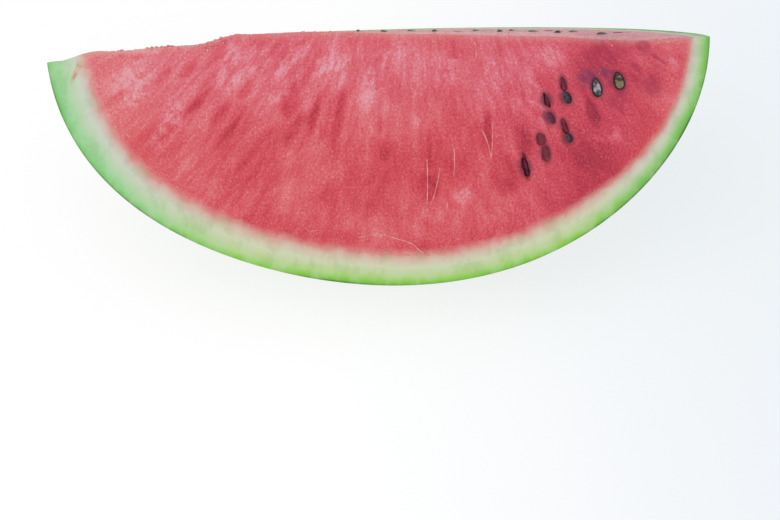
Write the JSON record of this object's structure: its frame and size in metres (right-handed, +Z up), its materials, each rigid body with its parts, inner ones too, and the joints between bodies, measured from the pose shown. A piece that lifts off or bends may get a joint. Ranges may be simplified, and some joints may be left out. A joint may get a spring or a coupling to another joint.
{
  "type": "watermelon wedge",
  "caption": "Quarter of an oblong watermelon cut lengthwise, red flesh over a pale and green rind, with dark seeds in both cut faces, lying on its rind.",
  "frame": {"origin": "on the surface the wedge rests on, under the middle of its bounding box", "axes": "+Z up, +X along the melon's long axis towards its blossom end, -Y towards the side that the seeded first cut faces"},
  "size_m": [0.2992, 0.1602, 0.114],
  "materials": {
    "melon": "wet granular red flesh on the two cuts, white to green rind under a striped green skin",
    "seed": "smooth near-black seed coat, pale kernel where sliced"
  },
  "bodies": {
    "root": {"wedge": "melon", "front_seed_1": "seed", "front_seed_2": "seed", "front_seed_3": "seed", "front_seed_4": "seed", "front_seed_5": "seed", "front_seed_6": "seed", "front_seed_7": "seed", "back_seed_1": "seed", "back_seed_2": "seed", "back_seed_3": "seed", "back_seed_4": "seed", "back_seed_5": "seed", "back_seed_6": "seed", "back_seed_7": "seed", "back_seed_8": "seed", "back_seed_9": "seed", "back_seed_10": "seed", "back_seed_11": "seed", "back_seed_12": "seed"}
  },
  "joints": []
}
